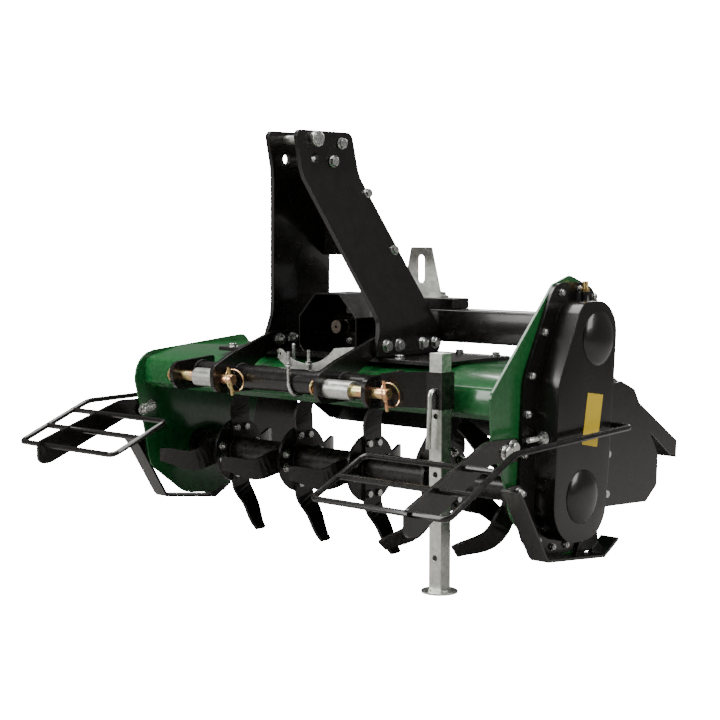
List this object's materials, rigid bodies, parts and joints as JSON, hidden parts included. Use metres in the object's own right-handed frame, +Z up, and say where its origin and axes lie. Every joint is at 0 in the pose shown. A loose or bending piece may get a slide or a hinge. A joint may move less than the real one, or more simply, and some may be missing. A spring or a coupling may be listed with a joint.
{
  "type": "rotary tiller",
  "caption": "Three-point rotary tiller: hooded rotor of curved tines between end plates, with mast, gearbox, side drive case, front guards, rear board and parking stand.",
  "frame": {"origin": "centre of the whole outline in plan, on the floor that the stand and the lowest tines touch", "axes": "-Y towards the tractor, +X towards the drive case, +Z up"},
  "size_m": [1.2076, 0.919, 0.8796],
  "materials": {
    "green_paint": "gloss",
    "black_coat": "gloss powder coat",
    "tine_paint": "satin",
    "cast_iron": "satin black paint",
    "zinc": "spangled zinc plate",
    "yellow_zinc": "yellow chromate on zinc",
    "steel": "machined",
    "brass": "satin"
  },
  "bodies": {
    "frame": {"bearing_left": "cast_iron", "bearing_right": "cast_iron", "case_breather": "brass", "chain_case": "black_coat", "clevis_plate_left": "black_coat", "clevis_plate_right": "black_coat", "cross_tube": "black_coat", "drive_housing": "black_coat", "gearbox": "cast_iron", "guard_left": "black_coat", "guard_right": "black_coat", "head_spacer_1": "zinc", "head_spacer_2": "zinc", "hitch_plate_left": "black_coat", "hitch_plate_right": "black_coat", "hood": "green_paint", "lower_pin_left": "yellow_zinc", "lower_pin_right": "yellow_zinc", "mast_brace": "black_coat", "mast_plate_left": "black_coat", "mast_plate_right": "black_coat", "mounting_plate": "black_coat", "pin_bushing_left": "zinc", "pin_bushing_right": "zinc", "pto_hook": "zinc", "pto_shield": "black_coat", "rear_wing_left": "black_coat", "rear_wing_right": "black_coat", "ring_pin_left": "yellow_zinc", "ring_pin_right": "yellow_zinc", "side_plate_left": "green_paint", "side_plate_right": "green_paint", "skid_left": "black_coat", "skid_right": "black_coat", "slotted_bracket": "zinc", "stand_pin": "zinc", "stand_post": "zinc", "stand_socket": "black_coat", "top_channel": "black_coat", "top_link_pin": "zinc"},
    "rotor": {"blade_set_1": "tine_paint", "blade_set_2": "tine_paint", "blade_set_3": "tine_paint", "blade_set_4": "tine_paint", "blade_set_5": "tine_paint", "rotor_shaft": "tine_paint"},
    "input": {"pto_shaft": "steel"},
    "board": {"levelling_board": "black_coat"}
  },
  "joints": [
    {"name": "rotor_spin", "type": "hinge", "parent": "frame", "child": "rotor", "pos_m": [0, 0.0025, 0.17664], "axis": [1, 0, 0], "continuous": true},
    {"name": "input_spin", "type": "hinge", "parent": "frame", "child": "input", "pos_m": [0, 0.0025, 0.47964], "axis": [0, 1, 0], "continuous": true},
    {"name": "board_hinge", "type": "hinge", "parent": "frame", "child": "board", "pos_m": [0, 0.2485, 0.35864], "axis": [1, 0, 0], "range_deg": [0, 50]}
  ],
  "couplings": [
    {"joint": "input_spin", "follows": "rotor_spin", "ratio": 2.7}
  ]
}
